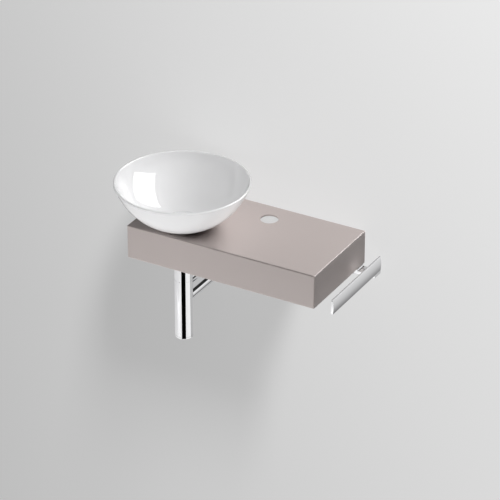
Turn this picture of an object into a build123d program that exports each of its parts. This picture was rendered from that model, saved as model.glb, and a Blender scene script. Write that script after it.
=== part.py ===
# A wall-hung vessel sink: a round bowl on a folded metal console, with its drain, trap and towel rail.
# The wall is the plane Y = 0, the front faces -Y, +X is to the right and +Z is up.
# The origin lies on the wall, midway between the two wall fixings. All sizes are millimetres.
import os
from math import asin, cos, sin, sqrt

from build123d import *

os.makedirs("parts", exist_ok=True)

# Clearances
thread_gap = 0.05  # a screw or nut on its thread, radially
slip_gap = 0.1  # a push fit that is sealed by a ring, radially
running_gap = 0.06  # a sliding stem or sleeve, radially
free_gap = 0.3  # a ring or a coped end beside a curved face
seat_gap = 0.1  # a moving face above its seat

# Console
console_width = 400.0
console_depth = 200.0
console_height = 69.0
sheet = 3.0
bend_radius = 2.2
lip_width = 18.0
fixing_drop = 34.5  # wall fixings below the console top

# Tap hole, left open
tap_hole_radius = 17.5
tap_from_wall = 47.0
tap_from_right = 179.0

# Wall brackets
fixing_spacing = 300.0
fixing_hole_radius = 5.5
bracket_width = 36.0
bracket_height = 50.0
bracket_reach = 100.0
bracket_sheet = 4.0
boss_radius = 6.5
boss_height = 9.0
boss_hole_depth = 8.5
bracket_screw_radius = 3.0
bracket_screw_head = 5.8
bracket_screw_head_height = 4.0
bracket_screw_grip = 7.5
bracket_screw_hole_radius = 3.4
screw_from_wall = 32.0
screw_pitch = 52.0

# Bowl
bowl_from_left = 88.5
bowl_from_front = 56.5
bowl_rim_radius = 129.4
bowl_height = 88.5
bowl_foot_radius = 30.5
bowl_bulge = 18.0  # how far the wall stands out from a straight cone
bowl_wall = 3.5
bowl_floor = 4.0
bowl_floor_fillet = 9.0
rim_bead_radius = 2.4
gasket_thickness = 1.5
gasket_width = 5.0

# Drain body
waste_thread_radius = 20.95
waste_bore_radius = 18.0
waste_length = 62.0
waste_flange_radius = 32.0
waste_flange_thickness = 2.5
waste_flange_round = 1.2
waste_hole_play = 1.6  # bowl and console holes around the drain thread, radially
flange_seal_thickness = 1.0
flange_seal_width = 6.0
support_plate_radius = 50.0
support_plate_thickness = 3.0
waste_washer_thickness = 3.0
waste_washer_radius = 31.0
locknut_radius = 30.0
locknut_thickness = 8.0
spider_drop = 18.0  # spider below the top of the flange
spider_height = 6.0
spider_bar = 4.0
hub_radius = 11.0

# Push-open plug
plug_radius = 29.0
plug_edge = 2.0
plug_crown = 3.5
plug_seal_thickness = 1.0
plug_seal_radius = 26.0
plug_seal_width = 5.0
stem_radius = 3.5
stem_head_radius = 8.0
stem_head_thickness = 1.0
stem_engagement = 20.0
cartridge_radius = 6.9
cartridge_flange_radius = 10.0
cartridge_flange_thickness = 2.0
cartridge_length = 30.0
cartridge_bore_depth = 26.0

# Trap
trap_radius = 17.6
trap_wall = 1.5
union_nut_radius = 25.0
union_nut_grip = 15.0
union_lip = 3.0
union_washer_thickness = 2.0
collar_radius = 20.5
collar_thickness = 3.0
trap_seam_drop = 117.0  # seam below the console top
trap_foot_drop = 243.0  # foot of the trap below the console top
trap_seal_thickness = 1.0
trap_seal_inset = 0.4
spigot_length = 12.0
spigot_wall = 2.4
spigot_lip = 2.0
spigot_lip_width = 2.5
dip_collar_thickness = 3.0
dip_wall = 1.5
dip_end_drop = 213.0  # end of the dip tube below the console top
cap_height = 4.5
cap_round = 1.6
cap_wall = 2.5
cap_floor = 2.6
cap_thread_length = 9.0
cap_thread_wall = 2.9
cap_seam = 0.3
cap_ring_thickness = 1.4
cap_ring_width = 1.6
cap_slot_width = 2.5
cap_slot_depth = 1.2
cap_slot_length = 18.0

# Outlet pipe and wall rosette
outlet_drop = 155.0  # pipe axis below the console top
outlet_radius = 16.0
outlet_wall = 1.5
outlet_into_wall = 36.0
outlet_mark_depth = 0.4
outlet_mark_width = 1.0
outlet_mark_from_wall = 1.0
branch_length = 24.0
branch_wall = 2.9
branch_groove_depth = 1.7
branch_groove_width = 2.4
branch_groove_from_end = 6.0
rosette_radius = 32.0
rosette_thickness = 7.0
rosette_round = 3.0
rosette_groove_depth = 1.8
rosette_groove_width = 2.4
rosette_groove_from_wall = 2.0

# Towel rail
rail_gap = 33.0  # between the console side and the rail's inner face
rail_from_wall = 6.0
rail_length = 190.0
rail_drop = 2.3  # rail's lower edge below the console's underside
rail_height = 29.8
rail_edge = 4.2
rail_swell = 1.0  # how far the outer face stands out at mid height
hem_radius = 2.1
hem_bore_radius = 1.1
arm_thickness = 6.0
arm_width = 24.0
arm_overlap = 20.0  # arm under the console's right lip
tab_thickness = 3.0
tab_height = 15.0
rail_screw_radius = 2.0
rail_screw_head_radius = 3.6
rail_screw_head_height = 2.2
rail_screw_bite = 1.5
arm_screw_radius = 2.5
arm_screw_head_radius = 4.6
arm_screw_head_height = 2.6
nut_plate_thickness = 4.0
nut_plate_inset = 1.0
screw_row_pitch = 14.0  # both pairs of rail and arm screws

# Heights of the faces that pieces share, from the console top
top_z = fixing_drop
under_z = top_z - console_height
ceiling_z = top_z - sheet
bowl_base_z = top_z + gasket_thickness
rim_z = bowl_base_z + bowl_height
floor_z = bowl_base_z + bowl_floor
flange_low_z = floor_z + flange_seal_thickness
flange_top_z = flange_low_z + waste_flange_thickness
waste_end_z = flange_low_z - waste_length
plate_low_z = ceiling_z - support_plate_thickness
washer_low_z = plate_low_z - waste_washer_thickness
locknut_low_z = washer_low_z - locknut_thickness
hub_top_z = flange_top_z - spider_drop
hub_low_z = hub_top_z - spider_height
cartridge_top_z = hub_top_z + cartridge_flange_thickness
plug_seal_low_z = flange_top_z + seat_gap
plug_low_z = plug_seal_low_z + plug_seal_thickness
stem_end_z = cartridge_top_z - stem_engagement
collar_top_z = waste_end_z - union_washer_thickness
collar_low_z = collar_top_z - collar_thickness
seam_z = top_z - trap_seam_drop
body_top_z = seam_z - trap_seal_thickness
spigot_end_z = seam_z - spigot_length - trap_seal_thickness
foot_z = top_z - trap_foot_drop
body_low_z = foot_z + cap_height + cap_seam
outlet_z = top_z - outlet_drop
arm_low_z = ceiling_z - boss_height - bracket_sheet

# Places and radii that pieces share
bowl_x = -console_width / 2 + bowl_from_left
bowl_y = -console_depth + bowl_from_front
tap_x = console_width / 2 - tap_from_right
waste_hole_radius = waste_thread_radius + waste_hole_play
spider_span = waste_bore_radius + waste_thread_radius
stem_bore_radius = stem_radius + running_gap
trap_bore = trap_radius - trap_wall
spigot_radius = trap_bore - slip_gap
spigot_bore = spigot_radius - spigot_wall
dip_radius = spigot_bore - spigot_lip_width - slip_gap
cap_thread_radius = trap_radius - cap_thread_wall
outlet_bore = outlet_radius - outlet_wall
branch_radius = outlet_bore - slip_gap
branch_bore = branch_radius - branch_wall
branch_end_y = bowl_y + trap_radius + branch_length
rosette_bore = outlet_radius + running_gap
rail_inner_x = console_width / 2 + rail_gap
rail_outer_x = rail_inner_x + rail_edge
rail_low_z = under_z - rail_drop
arm_mid_y = -rail_from_wall - arm_width / 2
arm_low_face_z = rail_low_z - arm_thickness
arm_screw_x = console_width / 2 - (sheet + lip_width) / 2
rail_screw_z = rail_low_z + tab_height / 2
bracket_screw_spots = [
    (side * fixing_spacing / 2, -screw_from_wall - row * screw_pitch) for side in (-1, 1) for row in (0, 1)
]
screw_rows = [arm_mid_y - screw_row_pitch / 2, arm_mid_y + screw_row_pitch / 2]
arm_screw_spots = [(arm_screw_x, row) for row in screw_rows]
rail_screw_spots = [(row, rail_screw_z) for row in screw_rows]

# Sections and axes that turned pieces share: radius across, height or depth along
drain_section = Plane(origin=(bowl_x, bowl_y, 0), x_dir=(1, 0, 0), z_dir=(0, -1, 0))
drain_axis = Axis((bowl_x, bowl_y, 0), (0, 0, 1))
outlet_section = Plane(origin=(bowl_x, 0, outlet_z), x_dir=(1, 0, 0), z_dir=(0, 0, 1))
outlet_axis = Axis((bowl_x, 0, outlet_z), (0, 1, 0))
standing = (Align.CENTER, Align.CENTER, Align.MIN)


def turn(points, section=drain_section, axis=drain_axis, mode=Mode.ADD):
    """Revolve a closed outline of (radius, distance) points into the part being built."""
    with BuildSketch(section, mode=Mode.PRIVATE) as outline:
        with BuildLine():
            Polyline(*points, close=True)
        make_face()
    revolve(outline.sketch, axis=axis, mode=mode)


def ring(outer, inner, low, high):
    """The outline of a plain ring between two distances along its axis."""
    return [(inner, low), (outer, low), (outer, high), (inner, high)]


def bulged_arc(start, end, bulge):
    """Centre and radius of the arc from start to end that stands out by bulge to its right."""
    chord = Vector(*end) - Vector(*start)
    radius = (chord.length**2 / 4 + bulge**2) / (2 * bulge)
    outward = Vector(chord.Y, -chord.X).normalized()
    centre = (Vector(*start) + Vector(*end)) * 0.5 - outward * (radius - bulge)
    return centre, radius


def save(builder, name):
    """Label a finished piece and write its file."""
    builder.part.label = name
    export_step(builder.part, f"parts/{name}.step")


# Console shell: top, front, sides and inward bottom lips folded from one sheet, open behind
with BuildPart() as console_shell:
    with BuildSketch(Plane.XY.offset(under_z)):
        with Locations((0, -console_depth / 2)):
            Rectangle(console_width, console_depth)
    extrude(amount=console_height)
    folds = console_shell.edges().filter_by(lambda edge: edge.center().Y < -sheet)
    fillet(folds, bend_radius)
    with BuildSketch(Plane.XY.offset(under_z + sheet)):
        with Locations((0, -(console_depth - sheet) / 2)):
            Rectangle(console_width - 2 * sheet, console_depth - sheet)
    extrude(amount=console_height - 2 * sheet, mode=Mode.SUBTRACT)
    with BuildSketch(Plane.XY.offset(under_z)):
        with Locations((0, -(console_depth - lip_width) / 2)):
            Rectangle(console_width - 2 * lip_width, console_depth - lip_width)
    extrude(amount=sheet, mode=Mode.SUBTRACT)
    with Locations((tap_x, -tap_from_wall, top_z)):
        Hole(tap_hole_radius, depth=sheet)
    with Locations((bowl_x, bowl_y, top_z)):
        Hole(waste_hole_radius, depth=sheet)
    with BuildSketch(Plane.XY.offset(ceiling_z)):
        with Locations(*bracket_screw_spots):
            Circle(boss_radius)
    extrude(amount=-boss_height)
    with BuildSketch(Plane.XY.offset(ceiling_z - boss_height)):
        with Locations(*bracket_screw_spots):
            Circle(bracket_screw_radius + thread_gap)
    extrude(amount=boss_hole_depth, mode=Mode.SUBTRACT)
    with BuildSketch(Plane.XY.offset(under_z)):
        with Locations(*arm_screw_spots):
            Circle(arm_screw_radius + slip_gap)
    extrude(amount=sheet, mode=Mode.SUBTRACT)
save(console_shell, "console_shell")

# Wall brackets: a wall plate, an arm under the console top and two folded gussets each
for side_name, side in (("left", -1), ("right", 1)):
    bracket_x = side * fixing_spacing / 2
    arm_top_z = arm_low_z + bracket_sheet
    plate_z = arm_top_z - bracket_height / 2
    with BuildPart() as wall_bracket:
        with BuildSketch(Plane.XZ):
            with Locations((bracket_x, plate_z)):
                Rectangle(bracket_width, bracket_height)
        extrude(amount=bracket_sheet)
        with BuildSketch(Plane.XY.offset(arm_low_z)):
            with Locations((bracket_x, -bracket_reach / 2)):
                Rectangle(bracket_width, bracket_reach)
        extrude(amount=bracket_sheet)
        for edge_x in (bracket_x - bracket_width / 2, bracket_x + bracket_width / 2 - bracket_sheet):
            with BuildSketch(Plane.YZ.offset(edge_x)):
                with BuildLine():
                    Polyline(
                        (0, arm_low_z),
                        (-bracket_reach, arm_low_z),
                        (-bracket_sheet, arm_top_z - bracket_height),
                        (0, arm_top_z - bracket_height),
                        close=True,
                    )
                make_face()
            extrude(amount=bracket_sheet)
        with Locations(Plane.XZ):
            with Locations((bracket_x, 0, bracket_sheet)):
                Hole(fixing_hole_radius, depth=bracket_sheet)
        for spot_x, spot_y in bracket_screw_spots:
            if spot_x == bracket_x:
                with Locations((spot_x, spot_y, arm_top_z)):
                    Hole(bracket_screw_hole_radius, depth=bracket_sheet)
    save(wall_bracket, f"wall_bracket_{side_name}")

# Screws that draw the console down onto its brackets
with BuildPart() as bracket_screws:
    with BuildSketch(Plane.XY.offset(arm_low_z)):
        with Locations(*bracket_screw_spots):
            RegularPolygon(bracket_screw_head, 6)
    extrude(amount=-bracket_screw_head_height)
    with BuildSketch(Plane.XY.offset(arm_low_z)):
        with Locations(*bracket_screw_spots):
            Circle(bracket_screw_radius)
    extrude(amount=bracket_sheet + bracket_screw_grip)
save(bracket_screws, "bracket_screws")

# Stiffening plate under the console top, below the bowl
with BuildPart() as support_plate:
    turn(ring(support_plate_radius, waste_hole_radius, plate_low_z, ceiling_z))
save(support_plate, "support_plate")

# Bowl: a spun shell with a flat foot, a flat floor round the drain and a rolled rim
bead_r = bowl_rim_radius - rim_bead_radius
bead_z = rim_z - rim_bead_radius
wall_top = (bowl_rim_radius - 2 * rim_bead_radius + bowl_wall, bead_z)
outer_centre, outer_radius = bulged_arc((bowl_foot_radius, bowl_base_z), wall_top, bowl_bulge)
inner_radius = outer_radius - bowl_wall


def on_bowl_arc(radius, height):
    """The point at a height on an arc about the bowl's wall centre."""
    drop = outer_centre.Y - height
    return (outer_centre.X + sqrt(radius**2 - drop**2), height)


with BuildPart() as bowl:
    with BuildSketch(drain_section) as bowl_outline:
        with BuildLine():
            foot = Line((waste_hole_radius, bowl_base_z), (bowl_foot_radius, bowl_base_z))
            middle_z = (bowl_base_z + bead_z) / 2
            outside = ThreePointArc(foot @ 1, on_bowl_arc(outer_radius, middle_z), wall_top)
            rim = Line(outside @ 1, on_bowl_arc(inner_radius, bead_z))
            floor_edge = on_bowl_arc(inner_radius, floor_z)
            inside = ThreePointArc(rim @ 1, on_bowl_arc(inner_radius, middle_z), floor_edge)
            floor = Line(inside @ 1, (waste_hole_radius, floor_z))
            Line(floor @ 1, foot @ 0)
        make_face()
        fillet(bowl_outline.vertices().sort_by_distance(floor_edge)[0], bowl_floor_fillet)
        with Locations((bead_r, bead_z)):
            Circle(rim_bead_radius)
    revolve(axis=drain_axis)
save(bowl, "bowl")

with BuildPart() as bowl_gasket:
    turn(ring(waste_hole_radius + gasket_width, waste_hole_radius, top_z, bowl_base_z))
save(bowl_gasket, "bowl_gasket")

# Drain body: flange, threaded shank and the spider that carries the latch cartridge
with BuildPart() as waste_body:
    turn(
        [
            (waste_bore_radius, waste_end_z),
            (waste_thread_radius, waste_end_z),
            (waste_thread_radius, flange_low_z),
            (waste_flange_radius, flange_low_z),
            (waste_flange_radius, flange_top_z),
            (waste_bore_radius, flange_top_z),
        ]
    )
    top_circles = waste_body.edges().filter_by(GeomType.CIRCLE).group_by(Axis.Z)[-1]
    fillet(top_circles.sort_by(SortBy.RADIUS)[-1], waste_flange_round)
    with BuildSketch(Plane.XY.offset(hub_low_z)):
        with Locations((bowl_x, bowl_y)):
            Rectangle(spider_span, spider_bar)
            Rectangle(spider_bar, spider_span)
            Circle(hub_radius)
            Circle(cartridge_radius + slip_gap, mode=Mode.SUBTRACT)
    extrude(amount=spider_height)
save(waste_body, "waste_body")

with BuildPart() as waste_flange_seal:
    turn(ring(waste_hole_radius + flange_seal_width, waste_hole_radius, floor_z, flange_low_z))
save(waste_flange_seal, "waste_flange_seal")

with BuildPart() as waste_washer:
    turn(ring(waste_washer_radius, waste_thread_radius + slip_gap, washer_low_z, plate_low_z))
save(waste_washer, "waste_washer")

with BuildPart() as waste_locknut:
    with BuildSketch(Plane.XY.offset(locknut_low_z)):
        with Locations((bowl_x, bowl_y)):
            RegularPolygon(locknut_radius, 6)
            Circle(waste_thread_radius + thread_gap, mode=Mode.SUBTRACT)
    extrude(amount=locknut_thickness)
save(waste_locknut, "waste_locknut")

# Push-open plug: domed cap, flat seal and stem, which move together
with BuildPart() as plug_cap:
    edge_z = plug_low_z + plug_edge
    crown_z = edge_z + plug_crown
    dome_radius = (plug_radius**2 + plug_crown**2) / (2 * plug_crown)
    half_turn = asin(plug_radius / dome_radius) / 2
    dome_middle = (dome_radius * sin(half_turn), crown_z - dome_radius * (1 - cos(half_turn)))
    with BuildSketch(drain_section):
        with BuildLine():
            under = Line((0, plug_low_z), (plug_radius, plug_low_z))
            rim_side = Line(under @ 1, (plug_radius, edge_z))
            dome = ThreePointArc(rim_side @ 1, dome_middle, (0, crown_z))
            Line(dome @ 1, under @ 0)
        make_face()
    revolve(axis=drain_axis)
save(plug_cap, "plug_cap")

with BuildPart() as plug_seal:
    turn(ring(plug_seal_radius, plug_seal_radius - plug_seal_width, plug_seal_low_z, plug_low_z))
save(plug_seal, "plug_seal")

with BuildPart() as plug_stem:
    turn(
        [
            (0, stem_end_z),
            (stem_radius, stem_end_z),
            (stem_radius, plug_low_z - stem_head_thickness),
            (stem_head_radius, plug_low_z - stem_head_thickness),
            (stem_head_radius, plug_low_z),
            (0, plug_low_z),
        ]
    )
save(plug_stem, "plug_stem")

# Latch cartridge, seated on the spider's hub, with a blind bore for the stem
with BuildPart() as click_cartridge:
    turn(
        [
            (0, cartridge_top_z - cartridge_length),
            (cartridge_radius, cartridge_top_z - cartridge_length),
            (cartridge_radius, hub_top_z),
            (cartridge_flange_radius, hub_top_z),
            (cartridge_flange_radius, cartridge_top_z),
            (stem_bore_radius, cartridge_top_z),
            (stem_bore_radius, cartridge_top_z - cartridge_bore_depth),
            (0, cartridge_top_z - cartridge_bore_depth),
        ]
    )
save(click_cartridge, "click_cartridge")

# Union between drain and trap
with BuildPart() as trap_union_nut:
    union_low_z = collar_low_z - union_lip
    union_bore = waste_thread_radius + thread_gap
    turn(
        [
            (trap_radius + slip_gap, union_low_z),
            (union_nut_radius, union_low_z),
            (union_nut_radius, waste_end_z + union_nut_grip),
            (union_bore, waste_end_z + union_nut_grip),
            (union_bore, collar_low_z),
            (trap_radius + slip_gap, collar_low_z),
        ]
    )
save(trap_union_nut, "trap_union_nut")

with BuildPart() as trap_union_washer:
    turn(ring(waste_thread_radius, waste_bore_radius, collar_top_z, waste_end_z))
save(trap_union_washer, "trap_union_washer")

# Upper trap tube, with the spigot that enters the lower tube
with BuildPart() as trap_head:
    turn(
        [
            (trap_bore, collar_top_z),
            (collar_radius, collar_top_z),
            (collar_radius, collar_low_z),
            (trap_radius, collar_low_z),
            (trap_radius, seam_z),
            (spigot_radius, seam_z),
            (spigot_radius, spigot_end_z),
            (spigot_bore - spigot_lip_width, spigot_end_z),
            (spigot_bore - spigot_lip_width, spigot_end_z + spigot_lip),
            (spigot_bore, spigot_end_z + spigot_lip),
            (spigot_bore, seam_z + trap_wall),
            (trap_bore, seam_z + trap_wall),
        ]
    )
save(trap_head, "trap_head")

with BuildPart() as trap_seal:
    turn(ring(trap_radius - trap_seal_inset, trap_bore + slip_gap, body_top_z, seam_z))
save(trap_seal, "trap_seal")

with BuildPart() as dip_tube:
    dip_shelf_z = spigot_end_z + spigot_lip
    dip_end_z = top_z - dip_end_drop
    turn(
        [
            (dip_radius - dip_wall, dip_end_z),
            (dip_radius, dip_end_z),
            (dip_radius, dip_shelf_z),
            (spigot_bore - slip_gap, dip_shelf_z),
            (spigot_bore - slip_gap, dip_shelf_z + dip_collar_thickness),
            (dip_radius - dip_wall, dip_shelf_z + dip_collar_thickness),
        ]
    )
save(dip_tube, "dip_tube")

# Lower trap tube: threaded ring at its foot and a hidden branch for the outlet pipe
thread_top_z = body_low_z + cap_thread_length
groove_far_y = branch_end_y - branch_groove_from_end
groove_near_y = groove_far_y - branch_groove_width
groove_floor = branch_radius - branch_groove_depth
with BuildPart() as trap_body:
    turn(ring(trap_radius, 0, body_low_z, body_top_z))
    turn(ring(branch_radius, 0, bowl_y, branch_end_y), outlet_section, outlet_axis)
    turn(ring(trap_bore, 0, thread_top_z, body_top_z), mode=Mode.SUBTRACT)
    turn(ring(cap_thread_radius + running_gap, 0, body_low_z, thread_top_z), mode=Mode.SUBTRACT)
    turn(ring(branch_bore, 0, bowl_y, branch_end_y), outlet_section, outlet_axis, Mode.SUBTRACT)
    groove = ring(outlet_bore, groove_floor, groove_near_y, groove_far_y)
    turn(groove, outlet_section, outlet_axis, Mode.SUBTRACT)
save(trap_body, "trap_body")

with BuildPart() as outlet_oring:
    ring_outline = ring(
        outlet_bore - thread_gap,
        groove_floor + thread_gap,
        groove_near_y + thread_gap,
        groove_far_y - thread_gap,
    )
    turn(ring_outline, outlet_section, outlet_axis)
save(outlet_oring, "outlet_oring")

# Outlet pipe: coped round the trap, with a shallow depth mark where it enters the wall
mark_far_y = outlet_mark_from_wall + outlet_mark_width
with BuildPart() as outlet_tube:
    outline = [
        (outlet_bore, bowl_y),
        (outlet_radius, bowl_y),
        (outlet_radius, outlet_mark_from_wall),
        (outlet_radius - outlet_mark_depth, outlet_mark_from_wall),
        (outlet_radius - outlet_mark_depth, mark_far_y),
        (outlet_radius, mark_far_y),
        (outlet_radius, outlet_into_wall),
        (outlet_bore, outlet_into_wall),
    ]
    turn(outline, outlet_section, outlet_axis)
    turn(ring(trap_radius + free_gap, 0, foot_z, body_top_z), mode=Mode.SUBTRACT)
save(outlet_tube, "outlet_tube")

# Wall rosette and the ring inside it that grips the pipe
rosette_groove_far_y = -rosette_groove_from_wall
rosette_groove_near_y = rosette_groove_far_y - rosette_groove_width
rosette_groove_radius = rosette_bore + rosette_groove_depth
with BuildPart() as wall_rosette:
    outline = [
        (rosette_bore, -rosette_thickness),
        (rosette_radius, -rosette_thickness),
        (rosette_radius, 0),
        (rosette_bore, 0),
        (rosette_bore, rosette_groove_far_y),
        (rosette_groove_radius, rosette_groove_far_y),
        (rosette_groove_radius, rosette_groove_near_y),
        (rosette_bore, rosette_groove_near_y),
    ]
    turn(outline, outlet_section, outlet_axis)
    front_circles = wall_rosette.edges().filter_by(GeomType.CIRCLE).group_by(Axis.Y)[0]
    fillet(front_circles.sort_by(SortBy.RADIUS)[-1], rosette_round)
save(wall_rosette, "wall_rosette")

with BuildPart() as rosette_oring:
    ring_outline = ring(
        rosette_groove_radius - thread_gap,
        outlet_radius + running_gap,
        rosette_groove_near_y + thread_gap,
        rosette_groove_far_y - thread_gap,
    )
    turn(ring_outline, outlet_section, outlet_axis)
save(rosette_oring, "rosette_oring")

# Clean-out cap and its ring, which unscrew from the foot of the trap
cap_ring_top_z = body_low_z - seat_gap
cap_ring_low_z = cap_ring_top_z - cap_ring_thickness
cap_ring_inner = cap_thread_radius + free_gap
cap_ring_outer = cap_ring_inner + cap_ring_width
with BuildPart() as cleanout_oring:
    turn(ring(cap_ring_outer, cap_ring_inner, cap_ring_low_z, cap_ring_top_z))
save(cleanout_oring, "cleanout_oring")

with BuildPart() as cleanout_cap:
    cap_top_z = foot_z + cap_height
    recess_z = cap_ring_low_z - seat_gap
    turn(
        [
            (0, foot_z),
            (trap_radius, foot_z),
            (trap_radius, cap_top_z),
            (cap_ring_outer + free_gap, cap_top_z),
            (cap_ring_outer + free_gap, recess_z),
            (cap_thread_radius, recess_z),
            (cap_thread_radius, thread_top_z),
            (cap_thread_radius - cap_wall, thread_top_z),
            (cap_thread_radius - cap_wall, foot_z + cap_floor),
            (0, foot_z + cap_floor),
        ]
    )
    foot_circles = cleanout_cap.edges().filter_by(GeomType.CIRCLE).group_by(Axis.Z)[0]
    fillet(foot_circles.sort_by(SortBy.RADIUS)[-1], cap_round)
    with Locations((bowl_x, bowl_y, foot_z)):
        Box(cap_slot_length, cap_slot_width, cap_slot_depth, align=standing, mode=Mode.SUBTRACT)
save(cleanout_cap, "cleanout_cap")

# Towel rail: a strip with a swelled outer face and a rolled hem along its top
hem_z = rail_low_z + rail_height - hem_radius
with BuildPart() as towel_rail:
    with BuildSketch(Plane.XZ.offset(rail_from_wall)):
        with BuildLine():
            low_edge = Line((rail_inner_x, rail_low_z), (rail_outer_x, rail_low_z))
            face_middle = (rail_outer_x + rail_swell, (rail_low_z + hem_z) / 2)
            face = ThreePointArc(low_edge @ 1, face_middle, (rail_outer_x, hem_z))
            top_edge = Line(face @ 1, (rail_inner_x, hem_z))
            Line(top_edge @ 1, low_edge @ 0)
        make_face()
        with Locations((rail_inner_x + hem_radius, hem_z)):
            Circle(hem_radius)
            Circle(hem_bore_radius, mode=Mode.SUBTRACT)
    extrude(amount=rail_length)
    with BuildSketch(Plane.YZ.offset(rail_inner_x)):
        with Locations(*rail_screw_spots):
            Circle(rail_screw_radius + thread_gap)
    extrude(amount=rail_screw_bite + free_gap, mode=Mode.SUBTRACT)
save(towel_rail, "towel_rail")

# Rail arm: a bar below the rail, with a pad under the console's right lip and a tab behind the rail
with BuildPart() as rail_arm:
    arm_inner_x = console_width / 2 - arm_overlap
    with BuildSketch(Plane.XY.offset(arm_low_face_z)):
        with Locations(((arm_inner_x + rail_outer_x) / 2, arm_mid_y)):
            Rectangle(rail_outer_x - arm_inner_x, arm_width)
    extrude(amount=arm_thickness)
    with BuildSketch(Plane.XY.offset(rail_low_z)):
        with Locations((arm_inner_x + arm_overlap / 2, arm_mid_y)):
            Rectangle(arm_overlap, arm_width)
    extrude(amount=rail_drop)
    with BuildSketch(Plane.XY.offset(under_z)):
        with Locations(*arm_screw_spots):
            Circle(arm_screw_radius + slip_gap)
    extrude(amount=-rail_drop - arm_thickness, mode=Mode.SUBTRACT)
    with BuildSketch(Plane.YZ.offset(rail_inner_x - tab_thickness)):
        with Locations((arm_mid_y, rail_screw_z)):
            Rectangle(arm_width, tab_height)
        with Locations(*rail_screw_spots):
            Circle(rail_screw_radius + slip_gap, mode=Mode.SUBTRACT)
    extrude(amount=tab_thickness)
save(rail_arm, "rail_arm")

with BuildPart() as rail_screws:
    with BuildSketch(Plane.YZ.offset(rail_inner_x - tab_thickness)):
        with Locations(*rail_screw_spots):
            Circle(rail_screw_head_radius)
    extrude(amount=-rail_screw_head_height)
    with BuildSketch(Plane.YZ.offset(rail_inner_x - tab_thickness)):
        with Locations(*rail_screw_spots):
            Circle(rail_screw_radius)
    extrude(amount=tab_thickness + rail_screw_bite)
save(rail_screws, "rail_screws")

with BuildPart() as arm_screws:
    with BuildSketch(Plane.XY.offset(arm_low_face_z)):
        with Locations(*arm_screw_spots):
            Circle(arm_screw_head_radius)
    extrude(amount=-arm_screw_head_height)
    with BuildSketch(Plane.XY.offset(arm_low_face_z)):
        with Locations(*arm_screw_spots):
            Circle(arm_screw_radius)
    extrude(amount=arm_thickness + rail_drop + sheet + nut_plate_thickness)
save(arm_screws, "arm_screws")

with BuildPart() as arm_nut_plate:
    with BuildSketch(Plane.XY.offset(under_z + sheet)):
        with Locations((arm_screw_x, arm_mid_y)):
            Rectangle(lip_width - sheet - 2 * nut_plate_inset, arm_width)
        with Locations(*arm_screw_spots):
            Circle(arm_screw_radius + thread_gap, mode=Mode.SUBTRACT)
    extrude(amount=nut_plate_thickness)
save(arm_nut_plate, "arm_nut_plate")
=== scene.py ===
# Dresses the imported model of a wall-hung vessel sink with its finishes and fine pieces, and stages it.
# Lengths are metres. The wall is the plane y = 0, the front faces -y, +x is to the right and +z is up.
import math

import bmesh
import bpy
from bpy.props import FloatProperty, FloatVectorProperty, PointerProperty
from mathutils import Matrix, Vector


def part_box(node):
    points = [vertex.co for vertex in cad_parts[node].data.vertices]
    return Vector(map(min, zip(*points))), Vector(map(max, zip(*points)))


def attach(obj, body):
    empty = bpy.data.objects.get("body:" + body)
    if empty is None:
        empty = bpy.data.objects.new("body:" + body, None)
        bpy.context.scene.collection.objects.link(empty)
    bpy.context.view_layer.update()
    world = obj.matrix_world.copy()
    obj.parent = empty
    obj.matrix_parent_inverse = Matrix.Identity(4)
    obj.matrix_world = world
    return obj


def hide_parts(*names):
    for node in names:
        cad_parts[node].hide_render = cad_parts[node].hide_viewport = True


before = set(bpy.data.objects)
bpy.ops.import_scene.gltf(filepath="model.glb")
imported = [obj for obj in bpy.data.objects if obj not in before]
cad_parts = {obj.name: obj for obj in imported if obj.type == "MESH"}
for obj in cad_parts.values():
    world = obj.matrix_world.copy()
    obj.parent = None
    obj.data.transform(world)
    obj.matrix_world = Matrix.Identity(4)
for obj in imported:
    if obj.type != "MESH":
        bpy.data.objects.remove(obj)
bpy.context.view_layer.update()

bl_info = {
    "name": "Vessel Sink Dresser",
    "version": (1, 0, 0),
    "blender": (4, 5, 0),
    "location": "View3D > Sidebar > Sink",
    "description": "Dresses the packed model of a wall-hung vessel sink and stages it",
    "category": "Object",
}

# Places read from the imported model
trap_low, trap_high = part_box("trap_head")
drain_x = (trap_low.x + trap_high.x) / 2
drain_y = (trap_low.y + trap_high.y) / 2
drain_foot = Vector((drain_x, drain_y, 0))
bowl_low, bowl_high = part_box("bowl")
bowl_eye = (bowl_low + bowl_high) / 2
console_low, console_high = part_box("console_shell")
fold_end = Vector((console_high.x, console_low.y, console_high.z))
rail_low, rail_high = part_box("towel_rail")
rail_eye = (rail_low + rail_high) / 2
UP = Vector((0, 0, 1))
BACK = Vector((0, 1, 0))
RIGHT = Vector((1, 0, 0))

# How finely round shapes are cut
ROUND_STEPS = 4
TURN_STEPS = 96
SCREW_STEPS = 48
THREAD_STEPS = 48
BOWL_STEPS = 160
BOWL_WALL_STEPS = 40
RIM_STEPS = 28
FILLET_STEPS = 10
DOME_STEPS = 16

# How near corners lie to be one, and the turns at which edges are rounded, shaded as sharp, or flat
WELD = 1e-7
CAD_WELD = 1e-6
RING_REACH = 1e-5
ROUNDED_TURN = math.radians(40)
SHADED_TURN = math.radians(38)
FLAT_TURN = math.radians(0.2)

# Room between pieces that screw or slide into each other
THREAD_ROOM = 0.00005
SLIDE_ROOM = 0.0001


def colour(name, description, default):
    """A colour that a user may change."""
    return FloatVectorProperty(name=name, description=description, subtype="COLOR", default=default)


def length(name, description, default):
    """A length that a user may change."""
    return FloatProperty(name=name, description=description, unit="LENGTH", default=default)


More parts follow.
